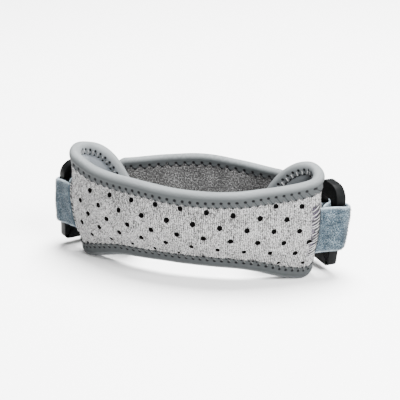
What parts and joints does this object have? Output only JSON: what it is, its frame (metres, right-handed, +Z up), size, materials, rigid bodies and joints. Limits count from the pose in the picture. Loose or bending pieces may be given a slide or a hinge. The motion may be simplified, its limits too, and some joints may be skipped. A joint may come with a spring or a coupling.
{
  "type": "patellar knee brace",
  "caption": "Padded loop worn below the kneecap: perforated knit front pad with turned-back ends and a back band, both edge-bound, joined by soft straps through plastic rings.",
  "frame": {"origin": "on the surface that the brace stands on, below the middle of its outline in plan", "axes": "+X across the knee to the right ring, +Y from the front pad to the back pad, +Z up along the leg"},
  "size_m": [0.1799, 0.0771, 0.0684],
  "materials": {
    "facing": "speckled grey perforated knit",
    "lining": "brushed grey lining over foam",
    "binding": "satin grey stretch edge tape",
    "strap": "blue-grey brushed loop pile",
    "ring": "matte black moulded"
  },
  "bodies": {
    "root": {"front_core": "lining", "front_facing": "facing", "front_binding": "binding", "back_pad": "lining", "back_binding": "binding", "left_ring": "ring", "left_ring_strap": "strap", "left_rear_strap": "strap", "right_ring": "ring", "right_ring_strap": "strap", "right_rear_strap": "strap"}
  },
  "joints": []
}
